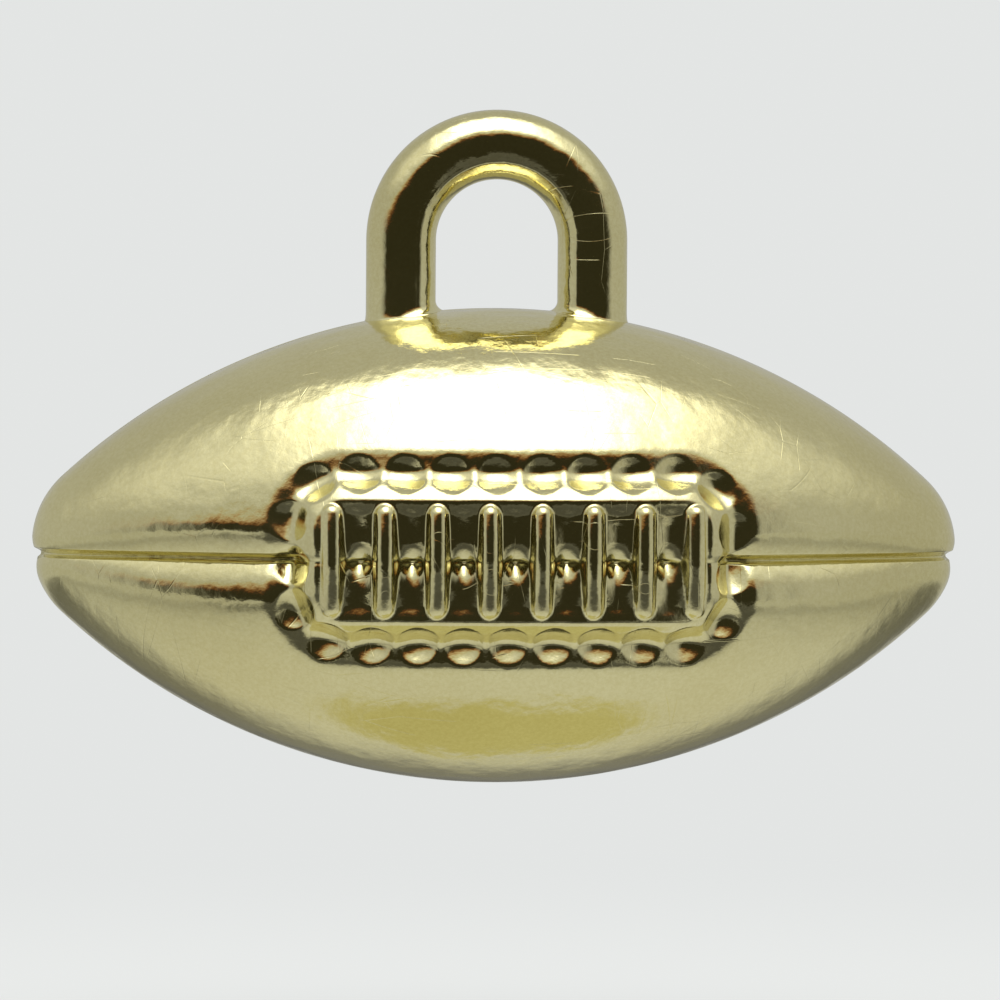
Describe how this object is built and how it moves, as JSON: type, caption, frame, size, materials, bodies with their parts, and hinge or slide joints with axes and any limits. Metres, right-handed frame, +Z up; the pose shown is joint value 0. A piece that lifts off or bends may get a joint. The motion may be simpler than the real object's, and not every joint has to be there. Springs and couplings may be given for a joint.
{
  "type": "football charm",
  "caption": "Hollow gold-finish football charm with a raised laced patch, a pillowed seam and a rigid hanging loop for a ring, cord or ribbon.",
  "frame": {"origin": "centre of the round top of the hanging loop's eye, midway through the loop", "axes": "+X along the ball, -Y to the laced front, +Z up from the ball to the loop"},
  "size_m": [0.032, 0.017, 0.0233],
  "materials": {
    "gold_shell": "vacuum-metallised plastic under a pale gold lacquer, mirror bright",
    "gold_loop": "vacuum-metallised plastic under a pale gold lacquer, mirror bright",
    "cement": "clear cured cement"
  },
  "bodies": {
    "root": {"front_half": "gold_shell", "rear_half": "gold_shell", "hanging_loop": "gold_loop", "joint_cement": "cement"}
  },
  "joints": []
}
